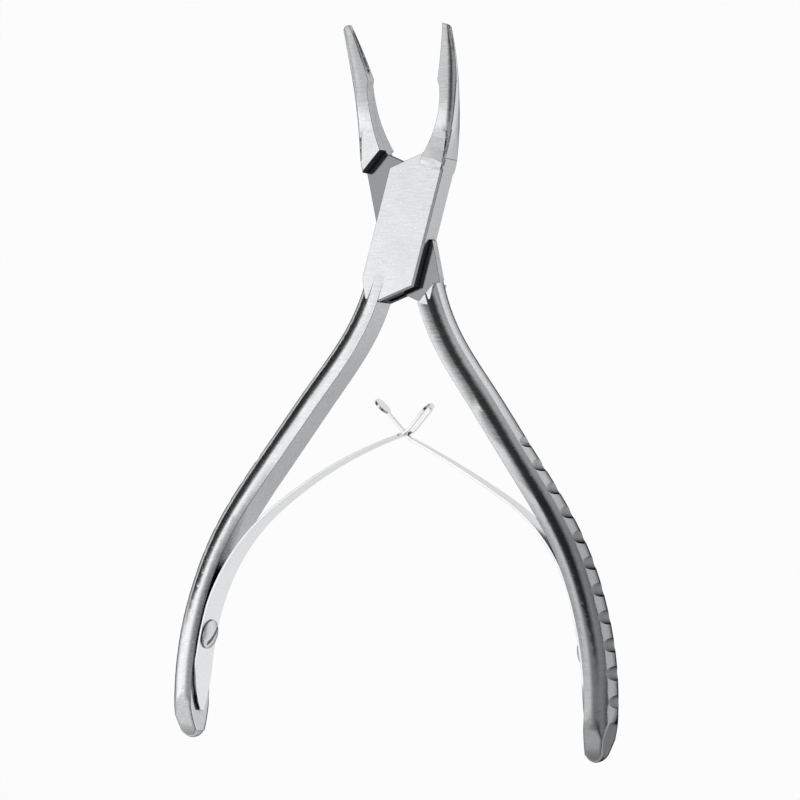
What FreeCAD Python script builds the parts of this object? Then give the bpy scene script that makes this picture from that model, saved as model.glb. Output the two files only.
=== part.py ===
import FreeCAD, Part
import math
import os

from FreeCAD import Vector

# Bone rongeur, single action, box joint, with a pair of linked leaf springs.
# Millimetres. The instrument lies flat: X runs across it, Y from the handles to the jaws,
# Z up. The origin is on the pivot axis, at the plain front face of the joint, so the
# instrument is below z = 0 there. Each lever is drawn as it lies when the jaws are shut,
# then turned about the pivot by openHalfAngle to the open pose, which is the rest pose.

openHalfAngle = 13.7

# Joint: the front lever has a slot through it, and the rear lever's tang turns in that slot
jointDepth = 5.8
frontPlateDepth = 2.35
tangThickness = 2.0
lapGap = 0.05
sideWall = 1.3
wallClearance = 0.2
tangLedge = 2.2
lapHalfWidth = 5.4
lapTop = 16.0
lapBottom = 8.8
shoulderAngle = 36.0
topShoulderGap = 0.9
bottomShoulderGap = 1.3
throatOffset = 0.45
sideChamfer = 0.4
backBevel = 0.8
plateBevel = 0.35

# Jaws
jawLength = 40.7
jawFlankRadius = 112.0
jawFlankStart = 12.5
jawRise = 7.0
jawRiseStart = 16.5
jawTipRadius = 1.7
jawTipHalfDepth = 0.62
rimGap = 0.15
cupLength = 8.5
cupWidth = 1.9
cupTipMargin = 0.75
reliefDepth = 1.35
reliefFlare = 0.15
reliefStepLength = 1.4
reliefTilt = 0.22

# Handles
handleThickness = 5.0
handleThicknessTop = 4.5
handleLean = 22.3
crotchOffset = 0.95
upperBendStart = -9.7
upperBendRadius = 45.0
lowerBendRadius = 65.0
gripCentreY = -80.5
gripReach = 21.03
handleLength = 104.8
handleDepth = 8.0
endTaper = 7.5
endRound = 9.6
endTongue = 9.3
endHeel = 1.4
notchCount = 11
notchPitch = 5.24
notchFirst = 47.7
notchRadius = 1.55
notchDepth = 0.8

# Pivot screw, put in from the back
pivotHeadDiameter = 5.6
pivotHeadDepth = 0.8
pivotShankDiameter = 4.0
pivotThreadDiameter = 3.2
pivotThreadLength = 1.8
pivotClearance = 0.04
pivotSlotWidth = 0.9
pivotSlotDepth = 0.45

# Leaf springs
springThickness = 0.5
springBaseWidth = 6.4
springFootLength = 8.2
springCrossWidth = 2.0
springSeat = 0.08
springBaseEnd = -16.9
springScrewAngle = -3.7
leftTakeOff = -2.6
leftLeafRadius = 40.45
leftLeafTurn = 38.8
leftTipRadius = 84.1
leftTipTurn = 21.4
rightTakeOff = 6.0
rightLeafRadius = 33.1
rightLeafTurn = 38.75
rightTipRadius = 193.8
rightTipTurn = 7.0
eyeBendRadius = 4.0
eyeBend = 31.5
eyeLength = 6.0
eyeWidth = 3.4
eyeSlotWidth = 2.0
eyeWall = 0.7
neckBendRadius = 2.0
neckBend = 20.4
neckLength = 9.9
neckWidth = 1.0
discDiameter = 3.7

# Spring screws
screwHeadDiameter = 5.6
screwHeadHeight = 1.1
screwHeadRim = 0.35
screwShankDiameter = 2.2
screwShankLength = 3.4
screwClearance = 0.1
screwSlotWidth = 0.75
screwSlotDepth = 0.5
threadClearance = 0.02

midZ = -jointDepth / 2
lapSlope = math.tan(math.radians(shoulderAngle))
big = 200.0


def along(degrees):
    # unit vector that leans this many degrees from +Y towards +X
    return Vector(math.sin(math.radians(degrees)), math.cos(math.radians(degrees)), 0)


def outwardOf(degrees):
    # unit vector across the lean, pointing to the left handle's outer side
    return Vector(-math.cos(math.radians(degrees)), math.sin(math.radians(degrees)), 0)


def prism(points, z0, z1):
    loop = [Vector(x, y, z0) for x, y in points]
    face = Part.Face(Part.makePolygon(loop + loop[:1]))
    return face.extrude(Vector(0, 0, z1 - z0))


def cylinder(diameter, height, base, direction):
    return Part.makeCylinder(diameter / 2, height, base, direction)


# A bar's section: flat inner face, domed or flat front and back, rounded outer face.
# n runs from the inner face outwards, z up from the section's own middle.

def barSection(origin, outward, thickness, inner, crown, crest, edge, edgeIn):
    def at(n, z):
        return origin + outward * n + Vector(0, 0, z)

    corners = [at(0, -inner), at(0, inner), at(crest, crown), at(thickness - edgeIn, edge),
               at(thickness - edgeIn, -edge), at(crest, -crown)]
    lead = at(crest * 0.45, inner + (crown - inner) * 0.75 + 0.01)
    leadBack = at(crest * 0.45, -inner - (crown - inner) * 0.75 - 0.01)
    span = thickness - edgeIn - crest
    shoulder = at(crest + span * 0.58, edge + (crown - edge) * 0.66)
    shoulderBack = at(crest + span * 0.58, -edge - (crown - edge) * 0.66)
    edges = [Part.LineSegment(corners[0], corners[1]).toShape(),
             Part.Arc(corners[1], lead, corners[2]).toShape(),
             Part.Arc(corners[2], shoulder, corners[3]).toShape(),
             Part.Arc(corners[3], at(thickness, 0), corners[4]).toShape(),
             Part.Arc(corners[4], shoulderBack, corners[5]).toShape(),
             Part.Arc(corners[5], leadBack, corners[0]).toShape()]
    return Part.Wire(edges)


def blendValue(a, b, share):
    return a + (b - a) * min(max(share, 0.0), 1.0)


# The inner face of the left handle, as a path of length s from the start of the upper bend:
# a bend outwards, a straight run, then the long grip bend back towards the middle.

gripCentre = Vector(lowerBendRadius - gripReach, gripCentreY, 0)
upperCentre = Vector(-crotchOffset - upperBendRadius, upperBendStart, 0)
upperEnd = upperCentre - outwardOf(handleLean) * upperBendRadius
gripStart = gripCentre + outwardOf(handleLean) * lowerBendRadius
upperArc = math.radians(handleLean) * upperBendRadius
straightRun = (gripStart - upperEnd).Length


def innerFaceAt(s):
    # point, outward direction and lean at path length s
    if s < 0:
        lean = 0.0
        point = Vector(-crotchOffset, upperBendStart - s, 0)
    elif s < upperArc:
        lean = math.degrees(s / upperBendRadius)
        point = upperCentre - outwardOf(lean) * upperBendRadius
    elif s < upperArc + straightRun:
        lean = handleLean
        point = upperEnd - along(handleLean) * (s - upperArc)
    else:
        lean = handleLean - math.degrees((s - upperArc - straightRun) / lowerBendRadius)
        point = gripCentre + outwardOf(lean) * lowerBendRadius
    return point, outwardOf(lean), lean


def gripPoint(lean, offset=0.0):
    # on the grip bend, offset from the inner face towards the middle of the instrument
    return gripCentre + outwardOf(lean) * (lowerBendRadius - offset)


def makeHandleBar():
    gripArc = math.radians(handleLean + 26.0) * lowerBendRadius
    total = upperArc + straightRun + gripArc
    fullSize = upperArc + straightRun + math.radians(handleLean - 4.0) * lowerBendRadius
    stops = [-4.0, 2.0, upperArc * 0.55, upperArc, upperArc + straightRun * 0.5,
             upperArc + straightRun]
    for turn in (8.0, 16.0, 24.0, 32.0, 40.0):
        stops.append(upperArc + straightRun + math.radians(turn) * lowerBendRadius)
    stops.append(total)
    wires = []
    for s in stops:
        share = s / fullSize
        thickness = blendValue(handleThicknessTop, handleThickness, s / (upperArc * 1.6))
        crown = blendValue(jointDepth, handleDepth, share) / 2
        inner = crown - blendValue(0.0, 0.35, share * 2 - 1)
        crest = thickness * blendValue(0.42, 0.35, share)
        edge = crown * blendValue(0.58, 0.70, share)
        edgeIn = blendValue(0.3, 0.95, share)
        point, outward, lean = innerFaceAt(s)
        point.z = midZ
        wires.append(barSection(point, outward, thickness, inner, crown, crest, edge, edgeIn))
    return Part.makeLoft(wires, True, False)


def makeHandleEnvelope():
    # the rounded end: tapered from the outer face in the front view, a tongue in the side view
    endLean = math.degrees(math.asin((gripCentreY + handleLength - endTaper) / lowerBendRadius))
    tangent = along(-endLean)
    normal = outwardOf(-endLean)
    tip = gripPoint(-endLean) + normal * endHeel - tangent * endTaper
    inset = handleThickness - endHeel
    far = 80.0

    def front(across, up):
        return tip + normal * across + tangent * up

    innerFar = front(-endHeel - far / 8, endTaper)
    edges = [Part.Arc(front(inset, endRound), front(inset * 0.7, endRound * 0.55),
                      front(inset * 0.5, endRound * 0.22)).toShape(),
             Part.Arc(front(inset * 0.5, endRound * 0.22), front(inset * 0.32, endRound * 0.066),
                      front(0, 0)).toShape(),
             Part.Arc(front(0, 0), front(-endHeel * 0.62, endHeel * 0.25),
                      front(-endHeel - 0.05, endHeel * 0.85)).toShape(),
             Part.LineSegment(front(-endHeel - 0.05, endHeel * 0.85), innerFar).toShape(),
             Part.LineSegment(innerFar, Vector(far, 0, 0)).toShape(),
             Part.LineSegment(Vector(far, 0, 0), Vector(-far, 0, 0)).toShape(),
             Part.LineSegment(Vector(-far, 0, 0), front(far / 8, endRound)).toShape(),
             Part.LineSegment(front(far / 8, endRound), front(inset, endRound)).toShape()]
    face = Part.Face(Part.Wire(edges))
    face.translate(Vector(0, 0, midZ - handleDepth))
    frontView = face.extrude(Vector(0, 0, 2 * handleDepth))

    half = handleDepth / 2

    def side(up, z):
        return tip + tangent * up + Vector(0, 0, midZ + z) + normal * far / 2

    low = endTongue * 0.08
    profile = [Part.Arc(side(endTongue, half), side(endTongue * 0.43, half * 0.74),
                        side(low, half * 0.3)).toShape(),
               Part.Arc(side(low, half * 0.3), side(0, 0), side(low, -half * 0.3)).toShape(),
               Part.Arc(side(low, -half * 0.3), side(endTongue * 0.43, -half * 0.74),
                        side(endTongue, -half)).toShape(),
               Part.LineSegment(side(endTongue, -half), side(endTongue * 2, -half - 1)).toShape(),
               Part.LineSegment(side(endTongue * 2, -half - 1), side(far * 2, -half - 1)).toShape(),
               Part.LineSegment(side(far * 2, -half - 1), side(far * 2, half + 1)).toShape(),
               Part.LineSegment(side(far * 2, half + 1), side(endTongue * 2, half + 1)).toShape(),
               Part.LineSegment(side(endTongue * 2, half + 1), side(endTongue, half)).toShape()]
    sideView = Part.Face(Part.Wire(profile)).extrude(normal * -far * 1.5)
    return frontView.common(sideView)


def cutNotches(handle):
    # round-bottomed finger notches across the outer face
    outerRadius = lowerBendRadius + handleThickness
    cutters = []
    for i in range(notchCount):
        drop = notchFirst + i * notchPitch
        s = drop + upperBendStart
        point, outward, lean = innerFaceAt(notchPath(s))
        depth = notchDepth * (0.75 if i in (0, notchCount - 1) else 1.0)
        axis = point + outward * (handleThickness + notchRadius - depth)
        axis.z = midZ - handleDepth
        cutters.append(cylinder(notchRadius * 2, 2 * handleDepth, axis, Vector(0, 0, 1)))
    return handle.cut(Part.makeCompound(cutters))


def notchPath(s):
    # the notches are spaced along the outer face, which is longer than the inner one
    straightEnd = upperArc + straightRun
    if s <= straightEnd:
        return s
    return straightEnd + (s - straightEnd) * lowerBendRadius / (lowerBendRadius + handleThickness)


def jawFlank(y):
    # half width of the shut jaw: straight at the joint, then a long arc to the tip
    if y <= jawFlankStart:
        return lapHalfWidth
    run = y - jawFlankStart
    return lapHalfWidth - jawFlankRadius + math.sqrt(jawFlankRadius ** 2 - run ** 2)


def jawMid(y):
    share = max(0.0, (y - jawRiseStart) / (jawLength - jawRiseStart))
    return jawRise * share ** 2


def jawHalfDepth(y):
    share = max(0.0, (y - jawRiseStart) / (jawLength - jawRiseStart))
    return jointDepth / 2 + (jawTipHalfDepth - jointDepth / 2) * share ** 0.85


def makeJaw():
    wires = []
    for share in (-0.124, 0.0, 0.186, 0.351, 0.517, 0.682, 0.847, 1.0):
        y = jawRiseStart + share * (jawLength - jawRiseStart)
        sunk = 0.03 if share < 0 else 0.0
        thickness = jawFlank(y) - rimGap - sunk
        half = jawHalfDepth(y) - sunk
        crest = thickness * blendValue(0.9, 0.5, share * 1.4)
        edge = half - blendValue(sideChamfer, half * 0.62, share * 1.2)
        edgeIn = blendValue(0.02, 0.3, share * 2)
        origin = Vector(rimGap, y, midZ + jawMid(y))
        wires.append(barSection(origin, Vector(1, 0, 0), thickness, half - 0.01, half, crest,
                                edge, edgeIn))
    jaw = Part.makeLoft(wires, True, False)
    tipCentreX = jawFlank(jawLength) - jawTipRadius
    corner = Vector(big, jawLength, -big)
    rise = Vector(jawFlank(jawLength - jawTipRadius) + 0.4, jawLength - jawTipRadius * 1.5, -big)
    top = Vector(rimGap + 0.35, jawLength, -big)
    round_ = Vector((rise.x * 0.70 + top.x * 0.30) + 0.28, jawLength - jawTipRadius * 0.52, -big)
    edges = [Part.Arc(rise, round_, top).toShape(),
             Part.LineSegment(top, corner + Vector(0, 5, 0)).toShape(),
             Part.LineSegment(corner + Vector(0, 5, 0), Vector(big, rise.y, -big)).toShape(),
             Part.LineSegment(Vector(big, rise.y, -big), rise).toShape()]
    jaw = jaw.cut(Part.Face(Part.Wire(edges)).extrude(Vector(0, 0, 2 * big)))
    return jaw.cut(makeRelief()).cut(makeCup())


def makeRelief():
    # the throat behind the cup, hollowed so that only the cup rims meet; it leans with the jaw
    # and is a little deeper towards the back
    heel = jawLength - cupTipMargin - cupLength - 0.45
    far = 60.0
    wires = []
    for up in (-jointDepth, jointDepth):
        flare = reliefFlare * (0.5 - up / jointDepth)
        shift = Vector(0, -reliefTilt * up, midZ + up)
        start = Vector(rimGap - 0.01, heel, 0)
        step = Vector(rimGap + reliefDepth * 0.5, heel - reliefStepLength, 0)
        deepest = Vector(rimGap + reliefDepth + flare, heel * 0.42 + lapTop * 0.58 + 1.5, 0)
        throat = Vector(throatOffset, lapTop, 0)
        edges = [Part.LineSegment(start, step).toShape(),
                 Part.Arc(step, deepest, throat).toShape(),
                 Part.LineSegment(throat, Vector(throatOffset, 0, 0)).toShape(),
                 Part.LineSegment(Vector(throatOffset, 0, 0), Vector(-far, 0, 0)).toShape(),
                 Part.LineSegment(Vector(-far, 0, 0), Vector(-far, heel, 0)).toShape(),
                 Part.LineSegment(Vector(-far, heel, 0), start).toShape()]
        wire = Part.Wire(edges)
        wire.translate(shift)
        wires.append(wire)
    return Part.makeLoft(wires, True, True)


def makeCup():
    # the scoop in the jaw's biting face: a slim drop turned about a line in the rim's plane
    tipY = jawLength - cupTipMargin
    heelY = tipY - cupLength
    middle = (tipY + heelY) / 2
    sag = (jawMid(tipY) + jawMid(heelY)) / 2 - jawMid(middle)
    tip = Vector(rimGap, tipY, midZ + jawMid(tipY) - sag / 2)
    heel = Vector(rimGap, heelY, midZ + jawMid(heelY) - sag / 2)
    axis = (tip - heel).normalize()
    side = Vector(1, 0, 0)
    length = (tip - heel).Length

    def at(u, r):
        return heel + axis * (u * length) + side * (r * cupWidth / 2)

    curve = Part.BSplineCurve()
    curve.interpolate([at(0, 0), at(0.05, 0.55), at(0.22, 0.98), at(0.5, 0.86),
                       at(0.78, 0.62), at(0.95, 0.36), at(1, 0)])
    face = Part.Face(Part.Wire([curve.toShape(), Part.LineSegment(at(1, 0), at(0, 0)).toShape()]))
    return face.revolve(heel, axis, 360)


def jointOutline(leftUpper, rightLower, grow=0.0):
    # the joint seen from the front: slanted ends, full width where the lever carries on, and
    # for the tang a narrower upper left and lower right, clear of the slot's side walls
    w = lapHalfWidth + grow
    lift = grow / math.cos(math.radians(shoulderAngle))
    ledge = tangLedge - grow
    top = jawRiseStart - 0.3

    def topLine(x):
        return lapTop - (throatOffset - x) * lapSlope + lift

    def bottomLine(x):
        return -lapBottom - (lapHalfWidth - x) * lapSlope - lift

    crotch = bottomLine(-crotchOffset)
    outline = [(throatOffset - grow, topLine(throatOffset)), (-leftUpper, topLine(-leftUpper))]
    if leftUpper < w:
        outline += [(-leftUpper, -ledge), (-w, -ledge)]
    outline += [(-w, upperBendStart), (-w * 0.85, upperBendStart - 2), (-w * 0.7, crotch),
                (-crotchOffset, crotch), (rightLower, bottomLine(rightLower))]
    if rightLower < w:
        outline += [(rightLower, ledge), (w, ledge)]
    return outline + [(w, top), (throatOffset - grow, top)]


def makeJointCore(front):
    # joint section with a thin bevel down its outer side, cut to the slanted ends
    z0 = -jointDepth
    w = lapHalfWidth
    c = sideChamfer
    points = [(-w, 0), (w - c, 0), (w, -c), (w, z0 + backBevel), (w - backBevel, z0), (-w, z0)]
    start = upperBendStart - lapHalfWidth * 2
    loop = [Vector(x, start, z) for x, z in points]
    bar = Part.Face(Part.makePolygon(loop + loop[:1])).extrude(Vector(0, lapTop * 2 - start, 0))
    if front:
        return bar.common(prism(jointOutline(w, w), -big, big)).cut(makePlateBevel())
    slim = w - sideWall - wallClearance
    return bar.common(prism(jointOutline(slim, slim), -big, big))


def makePlateBevel():
    # a narrow bevel along the front plate's slanted lower edge
    edge = Vector(math.cos(math.radians(shoulderAngle)), math.sin(math.radians(shoulderAngle)), 0)
    away = Vector(edge.y, -edge.x, 0)
    corner = Vector(lapHalfWidth, -lapBottom, 0)
    begin = corner - edge * ((lapHalfWidth + crotchOffset) / edge.x)
    points = [(-plateBevel - 1, 1), (1, -plateBevel - 1), (1, 1)]
    loop = [begin + away * n + Vector(0, 0, z) for n, z in points]
    return Part.Face(Part.makePolygon(loop + loop[:1])).extrude(corner - begin + edge)


def makeSlot():
    # the room that the tang needs in the front lever, from shut to open
    grown = lapHalfWidth - sideWall
    outline = jointOutline(grown, grown, wallClearance)
    base = prism([(-x, y) for x, y in outline], -frontPlateDepth - tangThickness - 2 * lapGap,
                 -frontPlateDepth)
    places = []
    for step in range(6):
        room = base.copy()
        room.rotate(Vector(0, 0, 0), Vector(0, 0, 1), 2 * openHalfAngle * step / 5)
        places.append(room)
    return places[0].fuse(places[1:]).removeSplitter()


def lapZone():
    # where the rear lever is only a tang: between its jaw shoulder and its handle shoulder
    far = 60.0
    cosine = math.cos(math.radians(shoulderAngle))
    topAt = lapTop + throatOffset * lapSlope + topShoulderGap / cosine
    bottomAt = -lapBottom - lapHalfWidth * lapSlope - bottomShoulderGap / cosine

    def topLine(x):
        return topAt - x * lapSlope

    def bottomLine(x):
        return bottomAt - x * lapSlope

    return [(-far, bottomLine(-far)), (far, bottomLine(far)), (far, topLine(far)),
            (-far, topLine(-far))]


def makeLever(front):
    # one forging: jaw on the right, lap, handle on the left
    handle = makeHandleBar().common(makeHandleEnvelope())
    handle = cutNotches(handle)
    lever = makeJointCore(front).fuse(makeJaw()).fuse(handle).removeSplitter()
    if front:
        lever = lever.cut(makeSlot())
    else:
        tangFront = -frontPlateDepth - lapGap
        lever = lever.cut(prism(lapZone(), tangFront, big))
        lever = lever.cut(prism(lapZone(), -big, tangFront - tangThickness))
    seat = gripPoint(springScrewAngle)
    seat.z = midZ
    bore = cylinder(screwShankDiameter, screwShankLength + 1.3, seat - outwardOf(springScrewAngle),
                    outwardOf(springScrewAngle))
    return lever.cut(bore)


def turned(shape, leftHandle):
    # from the shut drawing to the open pose; the other lever is the mirror image
    result = shape.copy()
    if leftHandle:
        result.rotate(Vector(0, 0, 0), Vector(0, 0, 1), -openHalfAngle)
        return result
    result = result.mirror(Vector(0, 0, 0), Vector(1, 0, 0))
    result.rotate(Vector(0, 0, 0), Vector(0, 0, 1), openHalfAngle)
    return result


def makeFrontLever():
    # the pivot screw goes in from the back, through both plates' holes
    lever = makeLever(True)
    up = Vector(0, 0, 1)
    depth = pivotThreadLength + 0.1
    hole = cylinder(pivotThreadDiameter, depth + 1, Vector(0, 0, -frontPlateDepth - 1), up)
    bore = cylinder(pivotShankDiameter + 2 * pivotClearance, jointDepth - frontPlateDepth - lapGap,
                    Vector(0, 0, -jointDepth), up)
    recess = cylinder(pivotHeadDiameter + 2 * pivotClearance, pivotHeadDepth + 1,
                      Vector(0, 0, -jointDepth - 1), up)
    return turned(lever.cut(hole).cut(bore).cut(recess), True)


def makeRearLever():
    lever = makeLever(False)
    bore = cylinder(pivotShankDiameter + 2 * pivotClearance, 2 * jointDepth,
                    Vector(0, 0, -2 * jointDepth), Vector(0, 0, 1))
    return turned(lever.cut(bore), False)


def makePivotScrew():
    up = Vector(0, 0, 1)
    back = -jointDepth
    shankLength = jointDepth - frontPlateDepth
    screw = cylinder(pivotHeadDiameter, pivotHeadDepth, Vector(0, 0, back), up)
    shank = cylinder(pivotShankDiameter, shankLength, Vector(0, 0, back), up)
    thread = cylinder(pivotThreadDiameter - 2 * threadClearance, shankLength + pivotThreadLength,
                      Vector(0, 0, back), up)
    screw = screw.fuse(shank).fuse(thread).removeSplitter()
    slot = Part.makeBox(pivotHeadDiameter * 2, pivotSlotWidth, pivotSlotDepth * 2,
                        Vector(-pivotHeadDiameter, -pivotSlotWidth / 2, back - pivotSlotDepth))
    slot.rotate(Vector(0, 0, 0), up, 35)
    return screw.cut(slot)


def stripOutline(segments):
    # both long edges of a strip of sheet that starts on the handle's face and follows the
    # segments (radius, turn in degrees, straight length); a positive turn leans to the right
    half = springThickness / 2
    lean = springBaseEnd
    centre = gripPoint(lean, half + springSeat)
    left, right = [], []
    for radius, turn, length in segments:
        side = outwardOf(lean)
        if length:
            end = centre + along(lean) * length
            left.append(Part.LineSegment(centre + side * half, end + side * half).toShape())
            right.append(Part.LineSegment(centre - side * half, end - side * half).toShape())
            centre = end
            continue
        sign = 1 if turn > 0 else -1
        pivot = centre - side * (radius * sign)
        middle = outwardOf(lean + turn / 2) * sign
        finish = outwardOf(lean + turn) * sign
        start = side * sign
        for edges, offset in ((left, half * sign), (right, -half * sign)):
            r = radius + offset
            edges.append(Part.Arc(pivot + start * r, pivot + middle * r, pivot + finish * r).toShape())
        lean = lean + turn
        centre = pivot + finish * radius
    first = Part.LineSegment(right[0].Vertexes[0].Point, left[0].Vertexes[0].Point).toShape()
    last = Part.LineSegment(left[-1].Vertexes[-1].Point, right[-1].Vertexes[-1].Point).toShape()
    wire = Part.Wire(Part.__sortEdges__([first] + left + [last] + right))
    return Part.Face(wire), centre


springView = 30.0


def alongView(point):
    return point.dot(along(springView))


def springPlan(crossing, tipEnd, shapeTip):
    # the sheet's blank, seen square to the spring: rounded foot, tapered leaf, shaped tip
    foot = alongView(gripPoint(springBaseEnd))
    screwAt = alongView(gripPoint(springScrewAngle))
    half = springBaseWidth / 2
    slim = springCrossWidth / 2
    toeSide = foot + springFootLength
    toe = springBaseWidth * 0.06
    fullTo = screwAt + springBaseWidth * 0.8

    def at(u, z):
        return along(springView) * u + Vector(0, 0, midZ + z) + outwardOf(springView) * 80

    arch = foot + springFootLength * 0.4
    edges = [Part.Arc(at(toeSide, half), at(arch, half * 0.79), at(foot + 0.1, toe)).toShape(),
             Part.Arc(at(foot + 0.1, toe), at(foot, 0), at(foot + 0.1, -toe)).toShape(),
             Part.Arc(at(foot + 0.1, -toe), at(arch, -half * 0.79), at(toeSide, -half)).toShape(),
             Part.LineSegment(at(toeSide, -half), at(fullTo, -half)).toShape(),
             Part.LineSegment(at(fullTo, -half), at(crossing, -slim)).toShape(),
             Part.LineSegment(at(crossing, -slim), at(crossing, slim)).toShape(),
             Part.LineSegment(at(crossing, slim), at(fullTo, half)).toShape(),
             Part.LineSegment(at(fullTo, half), at(toeSide, half)).toShape()]
    leaf = Part.Face(Part.Wire(edges)).extrude(outwardOf(springView) * -160)
    return leaf.fuse(shapeTip(at, crossing, tipEnd))


def slotShape(at, u0, u1, width):
    # a flat oblong with round ends, pushed through the sheet
    r = width / 2
    edges = [Part.Arc(at(u0 + r, r), at(u0, 0), at(u0 + r, -r)).toShape(),
             Part.LineSegment(at(u0 + r, -r), at(u1 - r, -r)).toShape(),
             Part.Arc(at(u1 - r, -r), at(u1, 0), at(u1 - r, r)).toShape(),
             Part.LineSegment(at(u1 - r, r), at(u0 + r, r)).toShape()]
    return Part.Face(Part.Wire(edges)).extrude(outwardOf(springView) * -160)


def eyeTip(at, crossing, tipEnd):
    return slotShape(at, crossing - 1.3, tipEnd, eyeWidth)


def discTip(at, crossing, tipEnd):
    middle = tipEnd - discDiameter / 2
    half = neckWidth / 2
    loop = [at(crossing - 0.5, half), at(crossing - 0.5, -half), at(middle, -half), at(middle, half)]
    neck = Part.Face(Part.makePolygon(loop + loop[:1])).extrude(outwardOf(springView) * -160)
    disc = cylinder(discDiameter, 160, at(middle, 0), outwardOf(springView) * -1)
    return neck.fuse(disc)


def makeSpring(takeOff, leafBends, tipBend, tipLength, shapeTip, slotted):
    # foot on the handle's face, two long bends, one short bend, then the straight tip
    leaf = [(lowerBendRadius - springSeat - springThickness / 2, takeOff - springBaseEnd, 0)]
    leaf += [(radius, turn, 0) for radius, turn in leafBends]
    crossing = alongView(stripOutline(leaf)[1])
    face, endPoint = stripOutline(leaf + [tipBend, (0, 0, tipLength)])
    face.translate(Vector(0, 0, midZ - springBaseWidth))
    sheet = face.extrude(Vector(0, 0, 2 * springBaseWidth))
    tipEnd = alongView(endPoint)
    spring = sheet.common(springPlan(crossing, tipEnd, shapeTip))
    if slotted:
        def at(u, z):
            return along(springView) * u + Vector(0, 0, midZ + z) + outwardOf(springView) * 80
        spring = spring.cut(slotShape(at, crossing - 0.3, tipEnd - eyeWall, eyeSlotWidth))
    seat = gripPoint(springScrewAngle, -2)
    seat.z = midZ
    hole = cylinder(screwShankDiameter + 2 * screwClearance, 5, seat, outwardOf(springScrewAngle) * -1)
    return spring.cut(hole)


def makeLeftSpring():
    leaf = [(leftLeafRadius, leftLeafTurn), (leftTipRadius, leftTipTurn)]
    bend = (eyeBendRadius, -eyeBend, 0)
    return turned(makeSpring(leftTakeOff, leaf, bend, eyeLength, eyeTip, True), True)


def makeRightSpring():
    leaf = [(rightLeafRadius, rightLeafTurn), (rightTipRadius, rightTipTurn)]
    bend = (neckBendRadius, -neckBend, 0)
    return turned(makeSpring(rightTakeOff, leaf, bend, neckLength, discTip, False), False)


def makeSpringScrew():
    # slotted round-head screw through the spring's foot into the handle
    inward = outwardOf(springScrewAngle) * -1
    r = screwHeadDiameter / 2
    seatLift = springSeat + springThickness + r * r / (2 * lowerBendRadius) + threadClearance
    seat = gripPoint(springScrewAngle)
    seat.z = midZ
    base = seat + inward * seatLift
    side = Vector(0, 0, 1)

    def at(out, height):
        return base + side * out + inward * height

    dome = Part.Arc(at(r, screwHeadRim), at(r * 0.62, screwHeadHeight * 0.84), at(0, screwHeadHeight))
    edges = [Part.LineSegment(at(0, 0), at(r, 0)).toShape(),
             Part.LineSegment(at(r, 0), at(r, screwHeadRim)).toShape(),
             dome.toShape(),
             Part.LineSegment(at(0, screwHeadHeight), at(0, 0)).toShape()]
    head = Part.Face(Part.Wire(edges)).revolve(base, inward, 360)
    shank = cylinder(screwShankDiameter - 2 * threadClearance, screwShankLength + seatLift,
                     base + inward * 0.2, inward * -1)
    screw = head.fuse(shank).removeSplitter()
    slot = Part.makeBox(2 * screwHeadDiameter, screwSlotWidth, screwHeadHeight,
                        Vector(-screwHeadDiameter, -screwSlotWidth / 2, 0))
    frame = FreeCAD.Placement(Vector(0, 0, 0), FreeCAD.Rotation(Vector(0, 0, 1), inward))
    twist = FreeCAD.Placement(Vector(0, 0, 0), FreeCAD.Rotation(Vector(0, 0, 1), 55))
    slot.Placement = frame.multiply(twist)
    slot.translate(base + inward * (screwHeadHeight - screwSlotDepth))
    return screw.cut(slot)


def export(name, shape):
    solids = shape.Solids
    shape = solids[0] if len(solids) == 1 else Part.makeCompound(solids)
    shape.exportStep("parts/" + name + ".step")
    box = shape.BoundBox
    print(name, "solids", len(solids), "valid", shape.isValid(), "volume", round(shape.Volume, 2),
          "x %.2f %.2f y %.2f %.2f z %.2f %.2f" % (box.XMin, box.XMax, box.YMin, box.YMax,
                                                   box.ZMin, box.ZMax))


os.makedirs("parts", exist_ok=True)
springScrew = makeSpringScrew()
export("front_lever", makeFrontLever())
export("rear_lever", makeRearLever())
export("pivot_screw", makePivotScrew())
export("left_spring", makeLeftSpring())
export("right_spring", makeRightSpring())
export("left_spring_screw", turned(springScrew, True))
export("right_spring_screw", turned(springScrew, False))
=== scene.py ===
import bpy
import math
from mathutils import Vector, Matrix


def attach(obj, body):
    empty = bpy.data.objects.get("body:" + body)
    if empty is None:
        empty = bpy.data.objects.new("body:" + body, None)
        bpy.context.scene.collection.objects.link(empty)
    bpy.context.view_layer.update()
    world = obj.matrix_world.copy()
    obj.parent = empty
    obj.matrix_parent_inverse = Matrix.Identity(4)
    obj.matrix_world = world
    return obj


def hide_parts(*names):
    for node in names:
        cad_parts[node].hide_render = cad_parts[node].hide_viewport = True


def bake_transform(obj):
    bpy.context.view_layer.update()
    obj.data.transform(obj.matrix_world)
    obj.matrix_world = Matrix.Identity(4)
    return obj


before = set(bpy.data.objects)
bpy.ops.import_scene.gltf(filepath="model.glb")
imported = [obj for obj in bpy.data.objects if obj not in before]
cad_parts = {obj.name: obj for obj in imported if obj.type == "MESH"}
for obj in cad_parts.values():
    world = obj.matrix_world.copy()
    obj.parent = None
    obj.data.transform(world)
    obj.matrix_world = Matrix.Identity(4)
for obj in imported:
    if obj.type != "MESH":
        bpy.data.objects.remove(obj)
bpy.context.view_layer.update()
print("frame loaded:", len(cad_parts), "nodes")

mm = 0.001


# Colours are sRGB hex as seen; Blender wants them linear.
def hexColor(code):
    parts = [int(code[i:i + 2], 16) / 255 for i in (1, 3, 5)]
    return [v / 12.92 if v <= 0.04045 else ((v + 0.055) / 1.055) ** 2.4 for v in parts] + [1.0]


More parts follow.
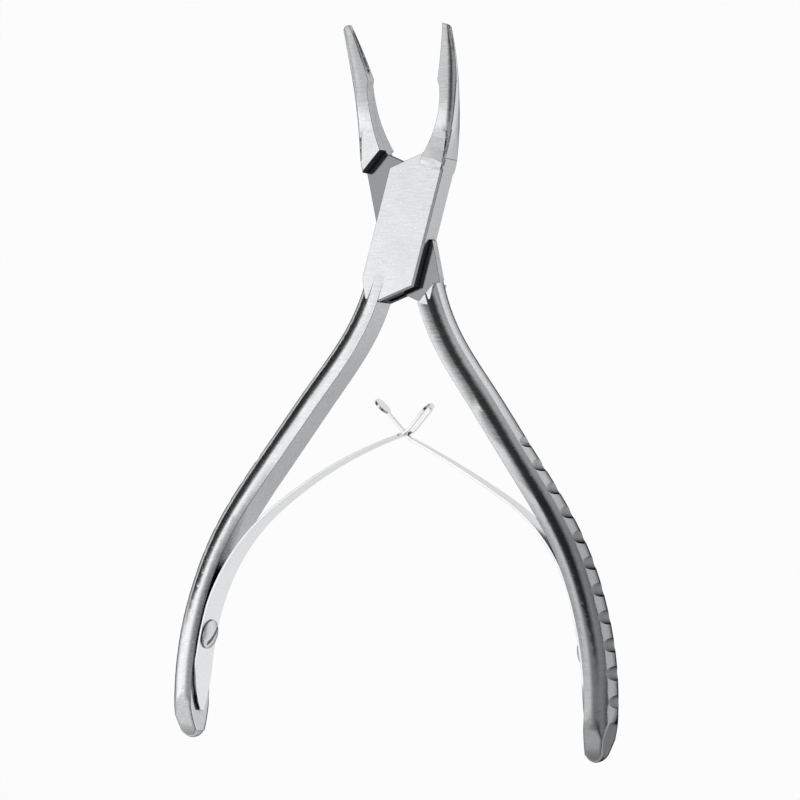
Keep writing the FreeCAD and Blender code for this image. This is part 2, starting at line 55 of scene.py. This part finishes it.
# Adds one node: settings by name, inputs by socket name or number; a link is (node, output).
def addNode(tree, kind, inputs=None, **settings):
    node = tree.nodes.new(kind)
    for name, value in settings.items():
        setattr(node, name, value)
    for name, value in (inputs or {}).items():
        if isinstance(value, tuple) and len(value) == 2 and hasattr(value[0], "bl_idname"):
            tree.links.new(value[0].outputs[value[1]], node.inputs[name])
        else:
            node.inputs[name].default_value = value
    return node


def setRamp(node, stops):
    ramp = node.color_ramp
    while len(ramp.elements) > 1:
        ramp.elements.remove(ramp.elements[-1])
    ramp.elements[0].position = stops[0][0]
    ramp.elements[0].color = [stops[0][1]] * 3 + [1.0]
    for place, tone in stops[1:]:
        ramp.elements.new(place).color = [tone] * 3 + [1.0]


def newMaterial(name):
    material = bpy.data.materials.new(name)
    material.use_nodes = True
    material.node_tree.nodes.clear()
    return material, material.node_tree


# What all the steel has in common. The painted shade on the rear handle starts below the joint
# and is full from handleShadeFull on; the tang's front face is a flat at tangFront and also gets
# painted shade.
steel = dict(
    cloudScale=140.0, speckScale=2600.0, speckAbove=0.66, speckColor="#F4F5F6",
    grainFrom=0.3, grainTo=0.7, mixFrom=0.12, mixTo=0.4,
    # Painted shade: colours that darken the rear handle and its tang.
    handleShadeFull=-56 * mm, handleShadeStart=-26 * mm, handleShadeColor="#6A6C6E",
    tangFront=-2.4 * mm, tangReach=0.04 * mm, tangColor="#7C7E80",
    # Painted reflection along the edges and painted shade in seams and crevices:
    darkEdgeFrom=0.90, darkEdgeTo=0.995, paintedEdgeReflectionColor="#1C1D1E", creviceShadeFrom=0.25, creviceShadeTo=0.85,
    crispTo=12.5 * mm, softFrom=17.5 * mm, endFull=-92 * mm, endStart=-87 * mm,
    bevelSamples=8, creviceShadeSamples=6)


# Martensitic stainless steel, forged, belt ground, then satin brushed: a bright grey metal whose
# fine lines stretch each reflection sideways. The real lines are about 0.03 mm apart, too fine to
# show, so they are drawn about 0.3 mm apart. Seams and crevices are darkened with painted shade,
# and dark lines painted along the edges are painted reflections of the room's dark gaps.
def stainlessMaterial(name, finish):
    material, tree = newMaterial(name)
    coords = addNode(tree, "ShaderNodeTexCoord")
    grain = addNode(tree, "ShaderNodeMapping", {"Vector": (coords, "Object"),
                    "Rotation": finish["grainTurn"], "Scale": finish["grainScale"]})
    lines = addNode(tree, "ShaderNodeTexNoise", {"Vector": (grain, 0), "Scale": 1.0,
                    "Detail": 3.0, "Roughness": 0.6})
    cloud = addNode(tree, "ShaderNodeTexNoise", {"Vector": (coords, "Object"),
                    "Scale": steel["cloudScale"], "Detail": 2.0, "Roughness": 0.5})
    specks = addNode(tree, "ShaderNodeTexNoise", {"Vector": (coords, "Object"),
                     "Scale": steel["speckScale"], "Detail": 1.0, "Roughness": 0.4})
    worn = addNode(tree, "ShaderNodeMath", {0: (specks, 0), 1: steel["speckAbove"]},
                   operation="GREATER_THAN")
    mixed = addNode(tree, "ShaderNodeMath", {0: (lines, 0), 1: (cloud, 0)}, operation="MULTIPLY")
    rough = addNode(tree, "ShaderNodeMapRange", {"Value": (mixed, 0),
                    "From Min": steel["mixFrom"], "From Max": steel["mixTo"],
                    "To Min": finish["roughLow"], "To Max": finish["roughHigh"]})
    tone = addNode(tree, "ShaderNodeMapRange", {"Value": (lines, 0),
                   "From Min": steel["grainFrom"], "From Max": steel["grainTo"],
                   "To Min": 0.0, "To Max": 1.0})
    tint = addNode(tree, "ShaderNodeMix", {"Factor": (tone, 0), "A": hexColor(finish["low"]),
                   "B": hexColor(finish["high"])}, data_type="RGBA")
    speckShare = addNode(tree, "ShaderNodeMath", {0: (worn, 0), 1: finish["specks"]},
                         operation="MULTIPLY")
    speckled = addNode(tree, "ShaderNodeMix", {"Factor": (speckShare, 0), "A": (tint, "Result"),
                       "B": hexColor(steel["speckColor"])}, data_type="RGBA")
    spot = addNode(tree, "ShaderNodeSeparateXYZ", {0: (coords, "Object")})
    # Painted shade: the rear handle's colour is darkened from below the joint down the handle.
    handleShade = addNode(tree, "ShaderNodeMapRange", {"Value": (spot, "Y"),
                      "From Min": steel["handleShadeFull"], "From Max": steel["handleShadeStart"],
                      "To Min": finish["handleShade"], "To Max": 0.0})
    handleShaded = addNode(tree, "ShaderNodeMix", {"Factor": (handleShade, 0), "A": (speckled, "Result"),
                     "B": hexColor(steel["handleShadeColor"])}, data_type="RGBA")
    # Painted shade: the tang's front face, which lies below the joint plate, is darkened.
    onTang = addNode(tree, "ShaderNodeMath", {0: (spot, "Z"), 1: steel["tangFront"],
                     2: steel["tangReach"]}, operation="COMPARE")
    tangShare = addNode(tree, "ShaderNodeMath", {0: (onTang, 0), 1: finish["tang"]},
                        operation="MULTIPLY")
    ground = addNode(tree, "ShaderNodeMix", {"Factor": (tangShare, 0), "A": (handleShaded, "Result"),
                     "B": hexColor(steel["tangColor"])}, data_type="RGBA")
    # Painted reflection: dark lines painted along the edges, where the rounded normal leaves the
    # face normal.
    shape = addNode(tree, "ShaderNodeNewGeometry")
    edgeNormals = addNode(tree, "ShaderNodeBevel", {"Radius": finish["paintedEdgeWidth"]},
                     samples=steel["bevelSamples"])
    agree = addNode(tree, "ShaderNodeVectorMath", {0: (edgeNormals, 0), 1: (shape, "Normal")},
                    operation="DOT_PRODUCT")
    onEdge = addNode(tree, "ShaderNodeMapRange", {"Value": (agree, "Value"),
                     "From Min": steel["darkEdgeFrom"], "From Max": steel["darkEdgeTo"],
                     "To Min": finish["paintedEdgeReflection"], "To Max": 0.0})
    edgeReflectionPainted = addNode(tree, "ShaderNodeMix", {"Factor": (onEdge, 0), "A": (ground, "Result"),
                    "B": hexColor(steel["paintedEdgeReflectionColor"])}, data_type="RGBA")
    # Painted shade: the colour is darkened in seams and crevices by ambient occlusion.
    paintedCreviceShade = addNode(tree, "ShaderNodeAmbientOcclusion", {"Distance": finish["creviceShadeReach"]},
                   samples=steel["creviceShadeSamples"])
    unshadedShare = addNode(tree, "ShaderNodeMapRange", {"Value": (paintedCreviceShade, "AO"),
                    "From Min": steel["creviceShadeFrom"], "From Max": steel["creviceShadeTo"],
                    "To Min": 0.0, "To Max": 1.0})
    coloured = addNode(tree, "ShaderNodeMix", {"Factor": (unshadedShare, 0),
                       "A": hexColor(finish["paintedCreviceShade"]), "B": (edgeReflectionPainted, "Result")}, data_type="RGBA")
    fromJoint = addNode(tree, "ShaderNodeMath", {0: (spot, "Y"), 1: finish["crispAt"]},
                        operation="SUBTRACT")
    away = addNode(tree, "ShaderNodeMath", {0: (fromJoint, 0)}, operation="ABSOLUTE")
    edge = addNode(tree, "ShaderNodeMapRange", {"Value": (away, 0),
                   "From Min": steel["crispTo"], "From Max": steel["softFrom"],
                   "To Min": finish["crispEdge"], "To Max": finish["edge"]})
    endEdge = addNode(tree, "ShaderNodeMapRange", {"Value": (spot, "Y"),
                      "From Min": steel["endFull"], "From Max": steel["endStart"],
                      "To Min": finish["endEdge"], "To Max": 0.0})
    widest = addNode(tree, "ShaderNodeMath", {0: (edge, 0), 1: (endEdge, 0)}, operation="MAXIMUM")
    rounded = addNode(tree, "ShaderNodeBevel", {"Radius": (widest, 0)},
                      samples=steel["bevelSamples"])
    bump = addNode(tree, "ShaderNodeBump", {"Height": (lines, 0), "Strength": finish["relief"],
                   "Distance": finish["depth"], "Normal": (rounded, 0)})
    shader = addNode(tree, "ShaderNodeBsdfPrincipled", {"Metallic": 1.0,
                     "Base Color": (coloured, "Result"), "Roughness": (rough, 0),
                     "Specular Tint": hexColor(finish["edgeTint"]), "Normal": (bump, 0)})
    addNode(tree, "ShaderNodeOutputMaterial", {"Surface": (shader, 0)})
    return material


# Levers: belt satin with a clear sheen and crisp ground edges near the joint.
leverFinish = dict(
    low="#CCCED0", high="#E2E3E4", edgeTint="#2A2A2C", paintedCreviceShade="#2A2B2C", creviceShadeReach=1.0 * mm,
    grainTurn=(0, 0, math.radians(8)), grainScale=(350, 3600, 3600), specks=0.5,
    roughLow=0.11, roughHigh=0.20, relief=0.12, depth=0.02 * mm, handleShade=0.0, tang=0.0,
    paintedEdgeWidth=0.16 * mm, paintedEdgeReflection=0.85,
    crispAt=1.0 * mm, crispEdge=0.04 * mm, edge=0.14 * mm, endEdge=0.9 * mm)
# The rear lever is the same, with painted shade on its handle where the hand holds it and on its
# tang.
rearFinish = dict(leverFinish, handleShade=0.55, tang=0.85)
# Springs: cold-rolled strip, polished, so it is paler and mirrors evenly.
springFinish = dict(
    low="#DCDEE0", high="#F0F1F2", edgeTint="#E8E9EA", paintedCreviceShade="#3A3B3C", creviceShadeReach=0.3 * mm,
    grainTurn=(0, 0, math.radians(45)), grainScale=(300, 4000, 4000), specks=0.0,
    roughLow=0.12, roughHigh=0.22, relief=0.06, depth=0.01 * mm, handleShade=0.0, tang=0.0,
    paintedEdgeWidth=0.05 * mm, paintedEdgeReflection=0.3,
    crispAt=-60 * mm, crispEdge=0.06 * mm, edge=0.06 * mm, endEdge=0.06 * mm)
# Screws: turned steel, less polished, so their gloss is softer.
screwFinish = dict(
    low="#DCDDDE", high="#F0F1F2", edgeTint="#2A2A2C", paintedCreviceShade="#141516", creviceShadeReach=0.5 * mm,
    grainTurn=(0, 0, 0), grainScale=(1500, 3000, 3000), specks=0.0,
    roughLow=0.34, roughHigh=0.50, relief=0.10, depth=0.015 * mm, handleShade=0.0, tang=0.0,
    paintedEdgeWidth=0.10 * mm, paintedEdgeReflection=0.6,
    crispAt=-78 * mm, crispEdge=0.12 * mm, edge=0.12 * mm, endEdge=0.12 * mm)

leverSteel = stainlessMaterial("stainlessBeltSatin", leverFinish)
rearSteel = stainlessMaterial("stainlessBeltSatinShadedHandle", rearFinish)
springSteel = stainlessMaterial("springStripPolished", springFinish)
screwSteel = stainlessMaterial("screwTurnedSteel", screwFinish)

finishOf = {"front_lever": leverSteel, "rear_lever": rearSteel,
            "pivot_screw": screwSteel, "left_spring_screw": screwSteel,
            "right_spring_screw": screwSteel, "left_spring": springSteel,
            "right_spring": springSteel}
for name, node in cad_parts.items():
    node.data.materials.clear()
    node.data.materials.append(finishOf[name])
print("steel finishes on", len(finishOf), "nodes")

copySet = dict(sameWithin=0.002 * mm)  # corners closer than this are one


# A merged copy of a CAD node that stands for the node, so that its shading can be smoothed.
def mergedCopy(nodeName, pieceName):
    bpy.ops.object.select_all(action="DESELECT")
    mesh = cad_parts[nodeName].data.copy()
    mesh.name = pieceName
    piece = bpy.data.objects.new(pieceName, mesh)
    bpy.context.collection.objects.link(piece)
    piece.select_set(True)
    bpy.context.view_layer.objects.active = piece
    bpy.ops.mesh.customdata_custom_splitnormals_clear()
    bpy.ops.object.mode_set(mode="EDIT")
    bpy.ops.mesh.select_mode(type="VERT")
    bpy.ops.mesh.select_all(action="SELECT")
    bpy.ops.mesh.remove_doubles(threshold=copySet["sameWithin"])
    bpy.ops.mesh.select_all(action="DESELECT")
    bpy.ops.object.mode_set(mode="OBJECT")
    return piece


# Levers: the CAD solids, with their polished surfaces run together, and with their ground flats
# and the creases at the root of the jaw kept crisp. Angles are in degrees; levelShare is how far
# up or down a face points to count as a flat, and how alike two faces are to count as one.
leverShape = dict(smoothAngle=30, levelShare=0.9995, flatFrom=-14 * mm, flatTo=17 * mm,
                  rootFrom=13 * mm, rootTo=20 * mm, rootAngle=5)


def makeLever(nodeName, pieceName, body):
    piece = mergedCopy(nodeName, pieceName)
    bpy.ops.object.shade_smooth_by_angle(angle=math.radians(leverShape["smoothAngle"]))
    mesh = piece.data
    normals = {}
    for face in mesh.polygons:
        for key in face.edge_keys:
            normals.setdefault(key, []).append(face.normal.copy())
    level = leverShape["levelShare"]
    bound = math.cos(math.radians(leverShape["rootAngle"]))
    for edge in mesh.edges:
        low, high = sorted(mesh.vertices[i].co.y for i in edge.vertices)
        first, last = normals[edge.key][0], normals[edge.key][-1]
        flats = abs(first.z) > level or abs(last.z) > level
        onFlat = flats and low > leverShape["flatFrom"] and high < leverShape["flatTo"]
        atRoot = low > leverShape["rootFrom"] and high < leverShape["rootTo"]
        alike = first.dot(last)
        edge.select = (alike < bound and atRoot) or (alike < level and onFlat)
    bpy.ops.object.mode_set(mode="EDIT")
    bpy.ops.mesh.select_mode(type="EDGE")
    bpy.ops.mesh.mark_sharp()
    bpy.ops.object.mode_set(mode="OBJECT")
    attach(piece, body)
    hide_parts(nodeName)


makeLever("front_lever", "leverFront", "front_lever_body")
makeLever("rear_lever", "leverRear", "rear_lever_body")
print("levers polished")


# Springs: the CAD strips, copied and merged so that their shading can be smoothed. On the real
# tool they flex between their foot and the middle of the leaf.
springShape = dict(smoothAngle=32)  # degrees: sharper edges stay crisp
springSet = [
    dict(node="left_spring", name="springLeft",
         lever="front_lever_body", body="left_spring_body",
         start=(-38.6 * mm, -70.5 * mm, -2.9 * mm), end=(-24.9 * mm, -51.7 * mm, -2.9 * mm)),
    dict(node="right_spring", name="springRight",
         lever="rear_lever_body", body="right_spring_body",
         start=(35.7 * mm, -62.5 * mm, -2.9 * mm), end=(23.1 * mm, -49.3 * mm, -2.9 * mm))]
for spring in springSet:
    piece = mergedCopy(spring["node"], spring["name"])
    bpy.ops.object.shade_smooth_by_angle(angle=math.radians(springShape["smoothAngle"]))
    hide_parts(spring["node"])
    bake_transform(piece)


# Floor: matt white paper. The camera and the reflections in the steel see it almost white, with
# only a trace of the shadow, as in a picture with a cleared background.
floorSet = dict(size=6.0, top=-7.05 * mm, color="#8C8C8C", white=0.97)
bpy.ops.object.select_all(action="DESELECT")
bpy.ops.mesh.primitive_plane_add(size=floorSet["size"], location=(0, 0, floorSet["top"]))
floor = bpy.context.object
floor.name = "floor"
floorMaterial, tree = newMaterial("paperFloor")
paper = addNode(tree, "ShaderNodeBsdfDiffuse", {"Color": hexColor(floorSet["color"])})
glow = addNode(tree, "ShaderNodeEmission", {"Color": (1, 1, 1, 1), "Strength": 1.0})
rays = addNode(tree, "ShaderNodeLightPath")
clear = addNode(tree, "ShaderNodeMath", {0: (rays, "Is Camera Ray"), 1: (rays, "Is Glossy Ray")},
                operation="MAXIMUM")
seen = addNode(tree, "ShaderNodeMath", {0: (clear, 0), 1: floorSet["white"]},
               operation="MULTIPLY")
share = addNode(tree, "ShaderNodeMath", {0: (seen, 0), 1: (rays, "Is Transmission Ray")},
                operation="MAXIMUM")
cover = addNode(tree, "ShaderNodeMixShader", {0: (share, 0), 1: (paper, 0), 2: (glow, 0)})
addNode(tree, "ShaderNodeOutputMaterial", {"Surface": (cover, 0)})
floor.data.materials.append(floorMaterial)


# Room: soft white walls and dark gaps between them, as in a light tent. Each ring is (degrees
# from straight up towards +X, brightness): light from beyond the jaws, from straight across and
# from beyond the handles. Each blend is (Y where it starts, Y where it is full, what it leads
# to), and plain grey closes both ends. The camera sees white.
roomSet = dict(
    jawSide=[(-180, 0.0), (-112, 0.0), (-96, 0.25), (-70, 0.50), (-40, 0.60), (-22, 0.52),
             (-6, 0.28), (12, 0.08), (34, 0.05), (52, 0.30), (66, 0.30), (82, 0.02), (180, 0.0)],
    across=[(-180, 0.0), (-112, 0.0), (-98, 0.85), (-84, 1.0), (-52, 1.0), (-40, 0.95),
            (-26, 0.92), (-16, 0.55), (-4, 0.32), (24, 0.30), (40, 0.34), (62, 0.26),
            (84, 0.12), (100, 0.02), (180, 0.0)],
    handleSide=[(-180, 0.0), (-100, 0.0), (-83, 0.02), (-60, 0.03), (-48, 0.06), (-42, 0.20),
                (-36, 0.60), (-31, 1.00), (-26, 0.75), (-20, 0.16), (-12, 0.03), (24, 0.02),
                (34, 0.16), (48, 0.34), (78, 0.28), (95, 0.02), (180, 0.0)],
    blends=[(-0.16, -0.05, "across"), (0.04, 0.12, "handleSide"), (-0.68, -0.90, "#8C8C8C"),
            (0.50, 0.75, "#A4A4A4")],
    strength=1.4, seenStrength=1.0)
world = bpy.data.worlds.new("studioRoom")
bpy.context.scene.world = world
world.use_nodes = True
tree = world.node_tree
tree.nodes.clear()
coords = addNode(tree, "ShaderNodeTexCoord")
aim = addNode(tree, "ShaderNodeSeparateXYZ", {0: (coords, "Generated")})
turn = addNode(tree, "ShaderNodeMath", {0: (aim, "X"), 1: (aim, "Z")}, operation="ARCTAN2")
around = addNode(tree, "ShaderNodeMapRange", {"Value": (turn, 0), "From Min": -math.pi,
                 "From Max": math.pi, "To Min": 0.0, "To Max": 1.0})
rings = {}
for name in ("jawSide", "across", "handleSide"):
    rings[name] = addNode(tree, "ShaderNodeValToRGB", {"Fac": (around, 0)})
    setRamp(rings[name], [((angle + 180) / 360, tone) for angle, tone in roomSet[name]])
room = (rings["jawSide"], 0)
for start, full, leadsTo in roomSet["blends"]:
    share = addNode(tree, "ShaderNodeMapRange", {"Value": (aim, "Y"), "From Min": start,
                    "From Max": full, "To Min": 0.0, "To Max": 1.0},
                    interpolation_type="SMOOTHSTEP")
    tone = (rings[leadsTo], 0) if leadsTo in rings else hexColor(leadsTo)
    blend = addNode(tree, "ShaderNodeMix", {"Factor": (share, 0), "A": room, "B": tone},
                    data_type="RGBA")
    room = (blend, "Result")
look = addNode(tree, "ShaderNodeLightPath")
bright = addNode(tree, "ShaderNodeMath", {0: (look, "Is Camera Ray"),
                 1: roomSet["seenStrength"] - roomSet["strength"], 2: roomSet["strength"]},
                 operation="MULTIPLY_ADD")
tones = addNode(tree, "ShaderNodeMix", {"Factor": (look, "Is Camera Ray"), "A": room,
                "B": (1, 1, 1, 1)}, data_type="RGBA")
sky = addNode(tree, "ShaderNodeBackground", {"Color": (tones, "Result"), "Strength": (bright, 0)})
addNode(tree, "ShaderNodeOutputWorld", {"Surface": (sky, 0)})


# One large soft lamp from the upper left. It lights the floor and throws the shadow. The steel
# doesn't mirror it, so the room alone lights the steel.
keyLamp = dict(place=(-0.85, 0.20, 0.42), aim=(0, -0.03, 0), size=0.5, watts=2.0)
lampData = bpy.data.lights.new("softKey", "AREA")
lampData.shape = "SQUARE"
lampData.size = keyLamp["size"]
lampData.energy = keyLamp["watts"]
lamp = bpy.data.objects.new("softKey", lampData)
bpy.context.collection.objects.link(lamp)
lamp.location = keyLamp["place"]
lamp.visible_glossy = False
towards = Vector(keyLamp["aim"]) - lamp.location
lamp.rotation_euler = towards.to_track_quat("-Z", "Y").to_euler()
print("floor, room and lamp set")


# Camera: 26 degrees to the object's right of the joint's front face, 750 mm away.
view = dict(yaw=26.0, pitch=1.4, roll=1.86, distance=750 * mm, width=152 * mm,
            centre=(-0.18 * mm, -31.26 * mm, -2.9 * mm), clipStart=10 * mm)
yaw = math.radians(view["yaw"])
pitch = math.radians(view["pitch"])
roll = math.radians(view["roll"])
toCamera = Vector((math.sin(yaw) * math.cos(pitch), -math.sin(pitch),
                   math.cos(yaw) * math.cos(pitch)))
levelRight = Vector((math.cos(yaw), 0, -math.sin(yaw)))
levelUp = toCamera.cross(levelRight)
right = levelRight * math.cos(roll) + levelUp * math.sin(roll)
up = levelUp * math.cos(roll) - levelRight * math.sin(roll)
cameraData = bpy.data.cameras.new("photoView")
camera = bpy.data.objects.new("photoView", cameraData)
bpy.context.collection.objects.link(camera)
cameraData.sensor_fit = "HORIZONTAL"
cameraData.angle = 2 * math.atan(view["width"] / 2 / view["distance"])
cameraData.clip_start = view["clipStart"]
camera.matrix_world = Matrix.Translation(Vector(view["centre"]) + toCamera * view["distance"]) @ \
    Matrix((right, up, toCamera)).transposed().to_4x4()
bpy.context.scene.camera = camera
bpy.context.scene.view_settings.view_transform = "Standard"
print("camera at", [round(v, 4) for v in camera.location])
